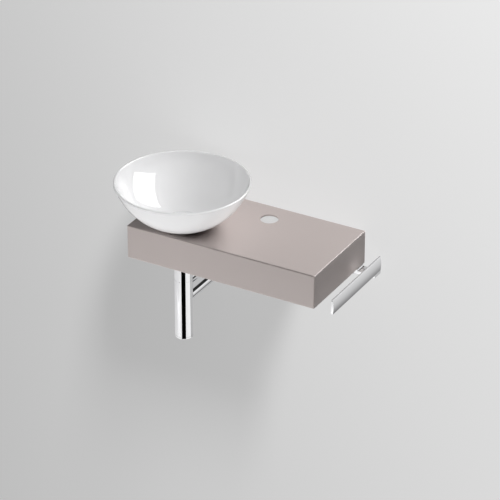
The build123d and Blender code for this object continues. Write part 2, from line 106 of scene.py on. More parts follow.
class SinkColours(bpy.types.PropertyGroup):
    """Colours of the sink's finishes and of the stage."""

    lacquer: colour("Lacquer", "Satin taupe lacquer of the console", (0.445, 0.392, 0.377))
    enamel: colour("Enamel", "Gloss white enamel of the bowl", (0.84, 0.84, 0.845))
    chrome: colour("Chrome", "Polished chrome of the trap, drain and rail", (0.82, 0.82, 0.83))
    zinc: colour("Zinc", "Zinc plate on brackets and screws", (0.55, 0.56, 0.58))
    brass: colour("Brass", "Turned brass of the lock nut and stem", (0.72, 0.55, 0.27))
    rubber: colour("Rubber", "Black rubber of gaskets and rings", (0.02, 0.02, 0.021))
    plastic: colour("Plastic", "Moulded plastic of the dip tube and latch", (0.62, 0.62, 0.6))
    wall: colour("Wall", "Plain painted wall behind the sink", (0.24, 0.24, 0.24))
    floor: colour("Floor", "Plain pale floor", (0.7, 0.7, 0.7))


class SinkSizes(bpy.types.PropertyGroup):
    """Sizes of the fine pieces that are modelled here."""

    edge_round: length("Edge rounding", "Rounding of turned and cut metal edges", 0.0004)
    bowl_wall: length("Bowl wall", "Thickness of the bowl's wall", 0.0035)
    bowl_foot: length("Bowl foot", "Radius of the bowl's flat foot", 0.0305)
    bowl_bulge: length("Bowl bulge", "How far the bowl's wall stands out from a straight cone", 0.018)
    bowl_floor: length("Bowl floor", "Thickness of the bowl's floor", 0.004)
    bowl_fillet: length("Bowl fillet", "Radius between the bowl's floor and wall", 0.009)
    rim_bead: length("Rim bead", "Radius of the bowl's rolled rim", 0.0024)
    drain_hole: length("Drain hole", "Radius of the hole for the drain", 0.02255)
    thread_radius: length("Thread radius", "Crest radius of the drain's pipe thread", 0.02095)
    thread_pitch: length("Thread pitch", "Pitch of the drain's pipe thread", 0.0023)
    thread_depth: length("Thread depth", "Depth of the drain's pipe thread", 0.0007)
    nut_flute: length("Nut flute", "Depth of the grip flutes on the union nut", 0.0009)
    sheet_round: length("Sheet rounding", "Rounding of cut and folded sheet edges", 0.0006)


class SinkStage(bpy.types.PropertyGroup):
    """Camera and light of the stage."""

    azimuth: FloatProperty(
        name="Azimuth", description="Camera's turn to the right of the front", subtype="ANGLE",
        default=math.radians(29.45),
    )
    elevation: FloatProperty(
        name="Elevation", description="Camera's height above the horizon", subtype="ANGLE",
        default=math.radians(28.88),
    )
    distance: length("Distance", "Camera's distance from its aim", 5.6396)
    aim: FloatVectorProperty(
        name="Aim", description="Point that the camera looks at", subtype="TRANSLATION",
        default=(0.00899, -0.1, -0.01007),
    )
    lens: FloatProperty(name="Lens", description="Focal length in millimetres", default=216.0)
    floor_height: length("Floor height", "Floor below the wall fixings", -0.85)


class Wire:
    """An output socket of a node tree, on which Python arithmetic adds Math nodes."""

    def __init__(self, recipe, socket):
        self.recipe = recipe
        self.socket = socket

    def math(self, operation, first, second):
        """A Math node on two values."""
        return self.recipe.node("ShaderNodeMath", {"operation": operation}, {0: first, 1: second})

    def __add__(self, other):
        return self.math("ADD", self, other)

    def __radd__(self, other):
        return self.math("ADD", other, self)

    def __sub__(self, other):
        return self.math("SUBTRACT", self, other)

    def __rsub__(self, other):
        return self.math("SUBTRACT", other, self)

    def __mul__(self, other):
        return self.math("MULTIPLY", self, other)

    def __rmul__(self, other):
        return self.math("MULTIPLY", other, self)


class Recipe:
    """A node tree that is written as Python expressions."""

    def __init__(self, tree):
        self.tree = tree
        tree.nodes.clear()

    def node(self, kind, settings=None, sockets=None, output=0):
        """Add a node: its settings first, then the values or links of its sockets."""
        made = self.tree.nodes.new(kind)
        for key, value in (settings or {}).items():
            if key == "stops":
                self.set_stops(made.color_ramp, value)
            else:
                setattr(made, key, value)
        for key, value in (sockets or {}).items():
            if isinstance(value, Wire):
                self.tree.links.new(value.socket, made.inputs[key])
            else:
                made.inputs[key].default_value = value
        return Wire(self, made.outputs[output]) if made.outputs else made

    def set_stops(self, ramp, stops):
        """Give a colour ramp its stops of (position, grey)."""
        while len(ramp.elements) < len(stops):
            ramp.elements.new(1.0)
        for element, (position, grey) in zip(ramp.elements, stops):
            element.position = position
            element.color = (grey, grey, grey, 1.0)

    def place(self):
        """Object coordinates."""
        return self.node("ShaderNodeTexCoord", output="Object")

    def noise(self, place, scale, detail=2.0, roughness=0.5):
        """A noise value from 0 to 1 about one half."""
        sockets = {"Vector": place, "Scale": scale, "Detail": detail, "Roughness": roughness}
        return self.node("ShaderNodeTexNoise", None, sockets)

    def mix(self, factor, first, second):
        """A blend of two colours."""
        sockets = {0: factor, 6: first, 7: second}
        return self.node("ShaderNodeMix", {"data_type": "RGBA"}, sockets, 2)

    def bump(self, height, strength, distance):
        """A normal raised by a height."""
        sockets = {"Strength": strength, "Distance": distance, "Height": height}
        return self.node("ShaderNodeBump", None, sockets)


def tinted(colour, gain):
    """A colour with its brightness changed, as a socket's value."""
    return tuple(min(1.0, part * gain) for part in colour) + (1.0,)


def new_material(name):
    """An empty material and the recipe that fills it."""
    material = bpy.data.materials.new(name)
    material.use_nodes = True
    return material, Recipe(material.node_tree)


def surface(recipe, sockets):
    """A Principled shader on the material's output."""
    shader = recipe.node("ShaderNodeBsdfPrincipled", None, sockets)
    recipe.node("ShaderNodeOutputMaterial", None, {"Surface": shader})


def satin_lacquer(colours):
    """Sprayed satin lacquer: a drift of tone, a fine grain and a faint orange peel."""
    material, recipe = new_material("satin_lacquer")
    place = recipe.place()
    drift = recipe.noise(place, 7.0, 3.0)
    grain = recipe.noise(place, 1400.0, 2.0)
    peel = recipe.noise(place, 420.0, 2.0)
    tone = 0.5 + (drift - 0.5) * 0.6 + (grain - 0.5) * 0.8
    surface(recipe, {
        "Base Color": recipe.mix(tone, tinted(colours.lacquer, 0.94), tinted(colours.lacquer, 1.06)),
        "Roughness": 0.34 + (grain - 0.5) * 0.12 + (drift - 0.5) * 0.06,
        "Normal": recipe.bump(peel, 0.06, 0.0002),
    })
    return material


def gloss_enamel(colours):
    """Fired gloss enamel: nearly white, with the long soft ripple of a flowed glaze."""
    material, recipe = new_material("gloss_enamel")
    place = recipe.place()
    drift = recipe.noise(place, 9.0, 2.0)
    ripple = recipe.noise(place, 55.0, 1.0)
    surface(recipe, {
        "Base Color": recipe.mix(drift, tinted(colours.enamel, 0.985), tinted(colours.enamel, 1.015)),
        "Roughness": 0.012 + drift * 0.016,
        "IOR": 1.52,
        "Normal": recipe.bump(ripple, 0.03, 0.0006),
    })
    return material


def polished_chrome(colours):
    """Bright chrome plate with faint wipe marks and hair scratches."""
    material, recipe = new_material("polished_chrome")
    place = recipe.place()
    smear = recipe.noise(place, 38.0, 4.0, 0.65)
    hair = recipe.noise(place, 900.0, 1.0)
    surface(recipe, {
        "Base Color": recipe.mix(smear, tinted(colours.chrome, 0.97), tinted(colours.chrome, 1.03)),
        "Metallic": 1.0,
        "Roughness": 0.02 + smear * 0.03 + hair * 0.01,
        "Normal": recipe.bump(hair, 0.01, 0.0001),
    })
    return material


def zinc_plate(colours):
    """Galvanised steel: crystal spangles that differ in tone and gloss."""
    material, recipe = new_material("zinc_plate")
    place = recipe.place()
    crystals = {"Vector": place, "Scale": 160.0}
    spangle = recipe.node("ShaderNodeTexVoronoi", {"feature": "F1"}, crystals, "Color")
    grey = recipe.node("ShaderNodeRGBToBW", None, {"Color": spangle})
    dust = recipe.noise(place, 60.0, 4.0, 0.6)
    tone = grey * 0.7 + dust * 0.3
    surface(recipe, {
        "Base Color": recipe.mix(tone, tinted(colours.zinc, 0.8), tinted(colours.zinc, 1.15)),
        "Metallic": 1.0,
        "Roughness": 0.28 + grey * 0.16 + dust * 0.1,
        "Normal": recipe.bump(grey, 0.05, 0.0002),
    })
    return material


def turned_brass(colours):
    """Machined brass with fine tool marks round the drain's axis and a dull tarnish."""
    material, recipe = new_material("turned_brass")
    place = recipe.place()
    marks = recipe.node(
        "ShaderNodeTexWave",
        {"wave_type": "BANDS", "bands_direction": "Z"},
        {"Vector": place, "Scale": 900.0, "Distortion": 0.4, "Detail": 2.0},
        "Fac",
    )
    tarnish = recipe.noise(place, 90.0, 4.0, 0.6)
    surface(recipe, {
        "Base Color": recipe.mix(tarnish, tinted(colours.brass, 0.75), tinted(colours.brass, 1.12)),
        "Metallic": 1.0,
        "Roughness": 0.22 + tarnish * 0.22,
        "Normal": recipe.bump(marks, 0.08, 0.0001),
    })
    return material


def black_rubber(colours):
    """Moulded rubber with a dusty bloom."""
    material, recipe = new_material("black_rubber")
    place = recipe.place()
    bloom = recipe.noise(place, 260.0, 4.0, 0.65)
    surface(recipe, {
        "Base Color": recipe.mix(bloom, tinted(colours.rubber, 0.6), tinted(colours.rubber, 2.2)),
        "Roughness": 0.6 + bloom * 0.25,
        "Normal": recipe.bump(bloom, 0.15, 0.0002),
    })
    return material


def moulded_plastic(colours):
    """Plain moulded plastic with a fine spark-eroded texture."""
    material, recipe = new_material("moulded_plastic")
    place = recipe.place()
    grain = recipe.noise(place, 700.0, 2.0)
    drift = recipe.noise(place, 30.0, 2.0)
    surface(recipe, {
        "Base Color": recipe.mix(drift, tinted(colours.plastic, 0.95), tinted(colours.plastic, 1.05)),
        "Roughness": 0.42 + grain * 0.14,
        "Normal": recipe.bump(grain, 0.08, 0.0001),
    })
    return material


def finish(maker):
    """The material that a maker builds, made once."""
    return bpy.data.materials.get(maker.__name__) or maker(bpy.context.scene.sink_colours)


def dress(maker, *nodes):
    """Give CAD nodes a finish."""
    for node in nodes:
        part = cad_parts[node]
        part.data.materials.clear()
        part.data.materials.append(finish(maker))


def bevelled(bm, geom, width, affect="EDGES"):
    """Round edges or corners to a width."""
    bmesh.ops.bevel(
        bm,
        geom=geom,
        offset=width,
        affect=affect,
        segments=ROUND_STEPS,
        profile=0.5,
        material=-1,
        clamp_overlap=True,
    )


def sharp_edges(bm):
    """Edges at which the surface turns sharply."""
    return [edge for edge in bm.edges if edge.is_manifold and edge.calc_face_angle() > ROUNDED_TURN]


def mend(bm):
    """Weld a spun or copied skin and turn its faces outwards."""
    bmesh.ops.remove_doubles(bm, verts=bm.verts[:], dist=WELD)
    bmesh.ops.dissolve_degenerate(bm, dist=WELD, edges=bm.edges[:])
    bmesh.ops.recalc_face_normals(bm, faces=bm.faces[:])


def spun(bm, foot, axis, steps=TURN_STEPS):
    """Spin the open or closed line that a bmesh holds round an axis into a skin."""
    on_axis = [
        edge for edge in bm.edges if all((vert.co - foot).cross(axis).length < WELD for vert in edge.verts)
    ]
    bmesh.ops.delete(bm, geom=on_axis, context="EDGES")
    line = bm.verts[:] + bm.edges[:]
    bmesh.ops.spin(bm, geom=line, cent=foot, axis=axis, angle=math.tau, steps=steps, use_merge=True)
    mend(bm)
    return bm


def turned(outline, foot=drain_foot, axis=UP, steps=TURN_STEPS):
    """Turn an outline of (radius, distance along the axis, corner rounding) into a solid."""
    bm = bmesh.new()
    side = axis.orthogonal().normalized()
    corners = [bm.verts.new(foot + side * radius + axis * along) for radius, along, rounding in outline]
    bm.faces.new(corners)
    for corner, (radius, along, rounding) in zip(corners, outline):
        if rounding:
            bevelled(bm, [corner], rounding, "VERTICES")
    bmesh.ops.delete(bm, geom=bm.faces[:], context="FACES_ONLY")
    return spun(bm, foot, axis, steps)


def made_hexagonal(verts, foot, axis, flats):
    """Push a ring of corners out or in to a hexagon that measures twice flats across."""
    side = axis.orthogonal().normalized()
    for vert in verts:
        offset = vert.co - foot
        along = axis * offset.dot(axis)
        spoke = offset - along
        swing = (spoke.angle(side) + math.pi / 6) % (math.pi / 3) - math.pi / 6
        vert.co = foot + along + spoke.normalized() * (flats / math.cos(swing))


def ring_at(bm, foot, axis, radius):
    """The corners of a shape that lie at a radius from an axis."""
    return [vert for vert in bm.verts if abs((vert.co - foot).cross(axis).length - radius) < RING_REACH]


# Screw heads, as shares of the head's own size
SHANK_TIP = 0.25
HEAD_SEAT = 0.98
HEAD_CROWN = 0.95
CHAMFER_LOW = 0.12
CHAMFER_HIGH = 0.8
HEAD_EASE = 0.05
HEAD_DOME = 0.45
SOCKET_RIM = 0.18
SOCKET_FLATS = 0.42
SOCKET_DEPTH = 0.65


def hexagon_screw(seat, axis, corner, height, shank, length):
    """A screw with a chamfered hexagonal head, whose axis points to the thread's end."""
    flats = corner * math.cos(math.pi / 6)
    bm = turned(
        [
            (0, length, 0),
            (shank, length, shank * SHANK_TIP),
            (shank, 0, 0),
            (flats * HEAD_SEAT, 0, 0),
            (corner, -height * CHAMFER_LOW, 0),
            (corner, -height * CHAMFER_HIGH, 0),
            (flats * HEAD_CROWN, -height, 0),
            (0, -height, 0),
        ],
        seat,
        axis,
        SCREW_STEPS,
    )
    made_hexagonal(ring_at(bm, seat, axis, corner), seat, axis, flats)
    return bm


def socket_screw(seat, axis, head, height, shank, length):
    """A screw with a rounded head and a hexagonal socket, whose axis points to the thread's end."""
    bm = turned(
        [
            (0, length, 0),
            (shank, length, shank * SHANK_TIP),
            (shank, 0, 0),
            (head, 0, head * HEAD_EASE),
            (head, -height, height * HEAD_DOME),
            (0, -height, 0),
        ],
        seat,
        axis,
        SCREW_STEPS,
    )
    top = CAD_WELD - height
    crown = [face for face in bm.faces if all((vert.co - seat).dot(axis) < top for vert in face.verts)]
    crown = bmesh.ops.dissolve_faces(bm, faces=crown)["region"]
    bmesh.ops.inset_region(bm, faces=crown, thickness=head * SOCKET_RIM)
    made_hexagonal(crown[0].verts, seat, axis, head * SOCKET_FLATS)
    socket = bmesh.ops.extrude_discrete_faces(bm, faces=crown)["faces"]
    bmesh.ops.translate(bm, verts=socket[0].verts[:], vec=axis * height * SOCKET_DEPTH)
    return bm


def gathered(*shapes):
    """Put several shapes into one."""
    whole = bmesh.new()
    for shape in shapes:
        mesh = bpy.data.meshes.new("shape")
        shape.to_mesh(mesh)
        shape.free()
        whole.from_mesh(mesh)
        bpy.data.meshes.remove(mesh)
    return whole


def eased(node, width):
    """A welded copy of a CAD node whose sharp edges are rounded."""
    bm = bmesh.new()
    bm.from_mesh(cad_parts[node].data)
    bmesh.ops.remove_doubles(bm, verts=bm.verts[:], dist=CAD_WELD)
    bmesh.ops.dissolve_limit(bm, angle_limit=FLAT_TURN, verts=bm.verts[:], edges=bm.edges[:])
    bevelled(bm, sharp_edges(bm), width)
    return bm


def piece(name, bm, maker, body, slot, *nodes):
    """Keep a shape as a finished piece that rides on a body and stands for CAD nodes."""
    mesh = bpy.data.meshes.new(name)
    bm.to_mesh(mesh)
    bm.free()
    mesh.shade_smooth()
    mesh.set_sharp_from_angle(angle=SHADED_TURN)
    mesh.materials.append(finish(maker))
    made = bpy.data.objects.new(name, mesh)
    bpy.context.scene.collection.objects.link(made)
    level = made.modifiers.new("level_faces", "WEIGHTED_NORMAL")
    level.keep_sharp = True
    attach(made, body)
    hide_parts(*nodes)
    return made


class SINK_OT_console(bpy.types.Operator):
    """Lacquer the console"""

    bl_idname = "sink.console"
    bl_label = "Console"

    def execute(self, context):
        dress(satin_lacquer, "console_shell")
        return {"FINISHED"}


def swept(bm, corner, centre, start, end, steps):
    """Sweep a corner about a point of the bowl's section, from one direction angle to another."""
    pivot = drain_foot + Vector((centre.x, 0, centre.y))
    swing = bmesh.ops.spin(
        bm, geom=[corner], cent=pivot, axis=-BACK, angle=end - start, steps=steps, use_merge=False
    )
    return next(part for part in swing["geom_last"] if isinstance(part, bmesh.types.BMVert))


# Rounding of the bowl where its wall meets the rim, and at its drain hole
RIM_NECK_ROUND = 0.0004
DRAIN_HOLE_ROUND = 0.0008


def bowl_skin(sizes):
    """The bowl's foot, bulged wall, rolled rim, inner wall, floor and drain hole, spun round the drain."""
    bead = sizes.rim_bead
    rim = Vector(((bowl_high.x - bowl_low.x) / 2 - bead, bowl_high.z - bead))
    foot = Vector((sizes.bowl_foot, bowl_low.z))
    wall_top = Vector((rim.x - bead + sizes.bowl_wall, rim.y))
    chord = wall_top - foot
    outer = (chord.length ** 2 / 4 + sizes.bowl_bulge ** 2) / (2 * sizes.bowl_bulge)
    inward = Vector((-chord.y, chord.x)).normalized()
    centre = (foot + wall_top) / 2 + inward * (outer - sizes.bowl_bulge)
    gap = (rim - centre).length
    line = (rim - centre) / gap
    past = (outer ** 2 - bead ** 2 - gap ** 2) / (2 * gap)
    outer_meet = rim + line * past + Vector((line.y, -line.x)) * math.sqrt(bead ** 2 - past ** 2)
    inner_meet = rim - line * bead
    inner = gap - bead
    floor = bowl_low.z + sizes.bowl_floor
    fillet = sizes.bowl_fillet
    fillet_drop = centre.y - floor - fillet
    fillet_centre = Vector((centre.x + math.sqrt((inner - fillet) ** 2 - fillet_drop ** 2), floor + fillet))

    def heading(hub, point):
        return math.atan2(point.y - hub.y, point.x - hub.x)

    bm = bmesh.new()
    corner = bm.verts.new(drain_foot + Vector((foot.x, 0, foot.y)))
    foot_corner = corner
    corner = swept(bm, corner, centre, heading(centre, foot), heading(centre, outer_meet), BOWL_WALL_STEPS)
    neck = corner
    corner = swept(bm, corner, rim, heading(rim, outer_meet), heading(rim, inner_meet), RIM_STEPS)
    wall_end = heading(centre, fillet_centre)
    corner = swept(bm, corner, centre, heading(centre, inner_meet), wall_end, BOWL_WALL_STEPS)
    corner = swept(bm, corner, fillet_centre, wall_end, -math.pi / 2, FILLET_STEPS)
    floor_edge = bm.verts.new(drain_foot + Vector((sizes.drain_hole, 0, floor)))
    hole_edge = bm.verts.new(drain_foot + Vector((sizes.drain_hole, 0, foot.y)))
    for pair in ((corner, floor_edge), (floor_edge, hole_edge), (hole_edge, foot_corner)):
        bm.edges.new(pair)
    bevelled(bm, [neck], RIM_NECK_ROUND, "VERTICES")
    bevelled(bm, [floor_edge, hole_edge], DRAIN_HOLE_ROUND, "VERTICES")
    return spun(bm, drain_foot, UP, BOWL_STEPS)


class SINK_OT_bowl(bpy.types.Operator):
    """Turn the bowl and enamel it"""

    bl_idname = "sink.bowl"
    bl_label = "Bowl"

    def execute(self, context):
        skin = bowl_skin(context.scene.sink_sizes)
        piece("bowl_shell", skin, gloss_enamel, "sink", "bowl_enamel", "bowl")
        dress(black_rubber, "bowl_gasket")
        return {"FINISHED"}


BRACKET_SCREW_CORNER = 0.0058
BRACKET_SCREW_HEAD = 0.004
BRACKET_SCREW_SHANK = 0.003


def bracket_fixings():
    """The four screws that draw the console down onto its brackets."""
    low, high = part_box("bracket_screws")
    corner = BRACKET_SCREW_CORNER
    half = corner * math.cos(math.pi / 6)
    for x in (low.x + corner, high.x - corner):
        for y in (low.y + half, high.y - half):
            seat = Vector((x, y, low.z + BRACKET_SCREW_HEAD))
            yield hexagon_screw(seat, UP, corner, BRACKET_SCREW_HEAD, BRACKET_SCREW_SHANK, high.z - seat.z)


class SINK_OT_brackets(bpy.types.Operator):
    """Ease the wall brackets and model their screws"""

    bl_idname = "sink.brackets"
    bl_label = "Wall brackets"

    def execute(self, context):
        sizes = context.scene.sink_sizes
        for side in ("left", "right"):
            node = "wall_bracket_" + side
            bracket = eased(node, sizes.sheet_round)
            piece("bracket_" + side, bracket, zinc_plate, "sink", "bracket_steel", node)
        screws = gathered(*bracket_fixings())
        piece("bracket_fixings", screws, zinc_plate, "sink", "screw_steel", "bracket_screws")
        dress(zinc_plate, "support_plate")
        return {"FINISHED"}


# The union washer's reach past the drain's bore, and how the thread sits on the drain's tube
WASHER_REACH = 0.00295
THREAD_BITE = 0.0001
THREAD_START = 0.6
THREAD_SPARE_TURNS = 2


def drain_tube(sizes):
    """The drain's flange and the plain core of its threaded tube."""
    low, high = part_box("waste_body")
    seal_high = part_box("waste_flange_seal")[1]
    flange = (high.x - low.x) / 2
    core = sizes.thread_radius - sizes.thread_depth
    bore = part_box("trap_union_washer")[1].x - drain_x - WASHER_REACH
    return turned(
        [
            (bore, low.z, 0.0003),
            (core, low.z, 0.0006),
            (core, seal_high.z, 0),
            (flange, seal_high.z, 0.0002),
            (flange, high.z, 0.0012),
            (bore, high.z, 0.0009),
        ]
    )


def drain_thread(sizes):
    """The ridge of the pipe thread, swept up the drain's tube as a helix."""
    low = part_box("waste_body")[0]
    root = sizes.thread_radius - sizes.thread_depth - THREAD_BITE
    crest = sizes.thread_radius
    pitch = sizes.thread_pitch
    turns = int((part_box("waste_flange_seal")[0].z - low.z) / pitch) - THREAD_SPARE_TURNS
    bm = bmesh.new()
    profile = ((root, 0.05), (crest, 0.42), (crest, 0.58), (root, 0.95))
    places = [Vector((out, 0, low.z + pitch * (rise + THREAD_START))) for out, rise in profile]
    rib = bm.faces.new([bm.verts.new(drain_foot + place) for place in places])
    bmesh.ops.spin(
        bm,
        geom=[rib],
        cent=drain_foot,
        axis=UP,
        dvec=UP * pitch / THREAD_STEPS,
        angle=math.tau * turns,
        steps=THREAD_STEPS * turns,
    )
    bmesh.ops.holes_fill(bm, edges=[edge for edge in bm.edges if edge.is_boundary], sides=4)
    mend(bm)
    return bm


# The spider inside the drain: its hub below the latch's top, and its arms
HUB_DROP = 0.002
HUB_HEIGHT = 0.006
HUB_BORE = 0.007
HUB_RADIUS = 0.011
SPIDER_ARMS = 4
SPIDER_ARM_MIDDLE = 0.0145
SPIDER_ARM_LENGTH = 0.0085
SPIDER_ARM_WIDTH = 0.004
SPIDER_ROUND = 0.0005


def drain_spider():
    """The hub inside the drain that carries the latch, on four arms."""
    hub_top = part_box("click_cartridge")[1].z - HUB_DROP
    hub_low = hub_top - HUB_HEIGHT
    hub = turned(
        [
            (HUB_BORE, hub_low, 0),
            (HUB_RADIUS, hub_low, SPIDER_ROUND),
            (HUB_RADIUS, hub_top, SPIDER_ROUND),
            (HUB_BORE, hub_top, 0),
        ]
    )
    arms = bmesh.new()
    for arm in range(SPIDER_ARMS):
        place = Matrix.Translation(drain_foot) @ Matrix.Rotation(math.tau / SPIDER_ARMS * arm, 4, "Z")
        reach = Matrix.Translation((SPIDER_ARM_MIDDLE, 0, (hub_low + hub_top) / 2))
        size = Matrix.Diagonal((SPIDER_ARM_LENGTH, SPIDER_ARM_WIDTH, hub_top - hub_low, 1))
        bmesh.ops.create_cube(arms, size=1, matrix=place @ reach @ size)
    bevelled(arms, arms.edges[:], SPIDER_ROUND)
    return gathered(hub, arms)


# Height and rounding of the plug's rim
PLUG_RIM = 0.002
PLUG_RIM_ROUND = 0.0011


def plug_skin(sizes):
    """The plug's domed cap with a rounded rim."""
    low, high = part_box("plug_cap")
    radius = (high.x - low.x) / 2
    edge_z = low.z + PLUG_RIM
    rise = high.z - edge_z
    dome = (radius ** 2 + rise ** 2) / (2 * rise)
    start = math.acos(radius / dome)
    bm = bmesh.new()
    middle = bm.verts.new(drain_foot + UP * low.z)
    under = bm.verts.new(drain_foot + Vector((radius, 0, low.z)))
    shoulder = bm.verts.new(drain_foot + Vector((radius, 0, edge_z)))
    bm.edges.new((middle, under))
    bm.edges.new((under, shoulder))
    swept(bm, shoulder, Vector((0, high.z - dome)), start, math.pi / 2, DOME_STEPS)
    bevelled(bm, [under], sizes.edge_round, "VERTICES")
    bevelled(bm, [shoulder], PLUG_RIM_ROUND, "VERTICES")
    return spun(bm, drain_foot, UP)


# Chamfer of the lock nut, and its round face as a share of its flats
NUT_CHAMFER = 0.0012
NUT_FACE = 0.97


def lock_nut(sizes):
    """The six-sided nut that draws the drain down, chamfered at both faces."""
    low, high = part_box("waste_locknut")
    corner = (high.x - low.x) / 2
    flats = corner * math.cos(math.pi / 6)
    bore = sizes.thread_radius + THREAD_ROOM
    bm = turned(
        [
            (bore, low.z, 0.0006),
            (flats * NUT_FACE, low.z, 0),
            (corner, low.z + NUT_CHAMFER, 0),
            (corner, high.z - NUT_CHAMFER, 0),
            (flats * NUT_FACE, high.z, 0),
            (bore, high.z, 0.0006),
        ]
    )
    made_hexagonal(ring_at(bm, drain_foot, UP, corner), drain_foot, UP, flats)
    return bm


class SINK_OT_drain(bpy.types.Operator):
    """Model the drain and its push-open plug"""

    bl_idname = "sink.drain"
    bl_label = "Drain"

    def execute(self, context):
        sizes = context.scene.sink_sizes
        body = gathered(drain_tube(sizes), drain_thread(sizes), drain_spider())
        piece("drain_body", body, polished_chrome, "sink", "drain_chrome", "waste_body")
        piece("plug_dome", plug_skin(sizes), gloss_enamel, "drain_plug", "bowl_enamel", "plug_cap")
        piece("drain_lock_nut", lock_nut(sizes), turned_brass, "sink", "nut_brass", "waste_locknut")
        dress(turned_brass, "plug_stem")
        dress(black_rubber, "waste_flange_seal", "waste_washer", "plug_seal")
        dress(moulded_plastic, "click_cartridge")
        return {"FINISHED"}


# The collar that the union nut draws up, the nut's flutes, and which faces lie on the nut's upright outside
COLLAR_HEIGHT = 0.003
FLUTE_FOOT = 0.005
FLUTE_EDGE = 0.00025
FLUTE_EVERY = 3
OUTSIDE_SHARE = 0.995
UPRIGHT_SLOPE = 0.01


def union_nut(sizes):
    """The nut that joins trap and drain, with grip flutes round it."""
    low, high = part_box("trap_union_nut")
    radius = (high.x - low.x) / 2
    collar_low = low.z + COLLAR_HEIGHT
    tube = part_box("trap_body")[1].x - drain_x + SLIDE_ROOM
    bore = sizes.thread_radius + THREAD_ROOM
    bm = turned(
        [
            (tube, low.z, 0.0003),
            (radius, low.z, 0.0012),
            (radius, high.z, 0.0008),
            (bore, high.z, 0.0005),
            (bore, collar_low, 0),
            (tube, collar_low, 0),
        ]
    )
    grip = [
        face
        for face in bm.faces
        if face.calc_center_median().z > low.z + FLUTE_FOOT
        and (face.calc_center_median() - drain_foot).cross(UP).length > radius * OUTSIDE_SHARE
        and abs(face.normal.z) < UPRIGHT_SLOPE
    ]
    grip.sort(key=lambda face: math.atan2(face.normal.y, face.normal.x))
    bmesh.ops.inset_individual(bm, faces=grip[::FLUTE_EVERY], thickness=FLUTE_EDGE, depth=-sizes.nut_flute)
    return bm


# The upper trap tube: its wall, its skirt over the seal, and the spigot with its lip inside the lower tube
TUBE_WALL = 0.0015
TUBE_EASE = 0.0003
SKIRT_LIFT = 0.0002
SKIRT_EASE = 0.0001
SPIGOT_WALL = 0.0025
SPIGOT_LIP = 0.005
SPIGOT_LIP_HEIGHT = 0.002
SPIGOT_SHOULDER = 0.0015


def upper_tube():
    """The upper trap tube: collar, plain tube, a thin skirt over the seal, and the spigot."""
    low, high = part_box("trap_head")
    collar = (high.x - low.x) / 2
    seal_low, seal_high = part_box("trap_seal")
    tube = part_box("trap_body")[1].x - drain_x
    seal = (seal_high.x - seal_low.x) / 2
    bore = tube - TUBE_WALL
    collar_low = high.z - COLLAR_HEIGHT
    skirt_low = seal_low.z + SKIRT_LIFT
    lip_top = low.z + SPIGOT_LIP_HEIGHT
    shoulder = seal_high.z + SPIGOT_SHOULDER
    return turned(
        [
            (bore, high.z, TUBE_EASE),
            (collar, high.z, TUBE_EASE),
            (collar, collar_low, TUBE_EASE),
            (tube, collar_low, 0),
            (tube, skirt_low, SKIRT_EASE),
            (seal + SLIDE_ROOM, skirt_low, 0),
            (seal + SLIDE_ROOM, seal_high.z, 0),
            (bore - SLIDE_ROOM, seal_high.z, 0),
            (bore - SLIDE_ROOM, low.z, TUBE_EASE),
            (bore - SPIGOT_LIP, low.z, TUBE_EASE),
            (bore - SPIGOT_LIP, lip_top, 0),
            (bore - SPIGOT_WALL, lip_top, 0),
            (bore - SPIGOT_WALL, shoulder, 0),
            (bore, shoulder, 0),
        ]
    )


class SINK_OT_trap(bpy.types.Operator):
    """Model the trap and finish its clean-out cap"""

    bl_idname = "sink.trap"
    bl_label = "Trap"

    def execute(self, context):
        sizes = context.scene.sink_sizes
        piece("trap_nut", union_nut(sizes), polished_chrome, "sink", "trap_chrome", "trap_union_nut")
        piece("trap_upper", upper_tube(), polished_chrome, "sink", "trap_chrome", "trap_head")
        dress(polished_chrome, "trap_body", "cleanout_cap")
        dress(black_rubber, "trap_union_washer", "trap_seal", "cleanout_oring")
        dress(moulded_plastic, "dip_tube")
        return {"FINISHED"}


class SINK_OT_outlet(bpy.types.Operator):
    """Finish the outlet pipe and its wall rosette"""

    bl_idname = "sink.outlet"
    bl_label = "Outlet"

    def execute(self, context):
        dress(polished_chrome, "outlet_tube", "wall_rosette")
        dress(black_rubber, "outlet_oring", "rosette_oring")
        return {"FINISHED"}


# Screws of the rail's arm and of the rail, and the rounding of the rail's edges
ARM_SCREW_HEAD = 0.0026
ARM_SCREW_SHANK = 0.0025
RAIL_SCREW_HEAD = 0.0022
RAIL_SCREW_SHANK = 0.002
RAIL_ROUND = 0.0003


def arm_fixings():
    """The two screws that hold the rail's arm under the console."""
    low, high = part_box("arm_screws")
    across = (low.x + high.x) / 2
    head = (high.x - low.x) / 2
    for y in (low.y + head, high.y - head):
        seat = Vector((across, y, low.z + ARM_SCREW_HEAD))
        yield socket_screw(seat, UP, head, ARM_SCREW_HEAD, ARM_SCREW_SHANK, high.z - seat.z)


def rail_fixings():
    """The two screws that hold the rail on its arm."""
    low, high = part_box("rail_screws")
    height = (low.z + high.z) / 2
    head = (high.z - low.z) / 2
    for y in (low.y + head, high.y - head):
        seat = Vector((low.x + RAIL_SCREW_HEAD, y, height))
        yield socket_screw(seat, RIGHT, head, RAIL_SCREW_HEAD, RAIL_SCREW_SHANK, high.x - seat.x)


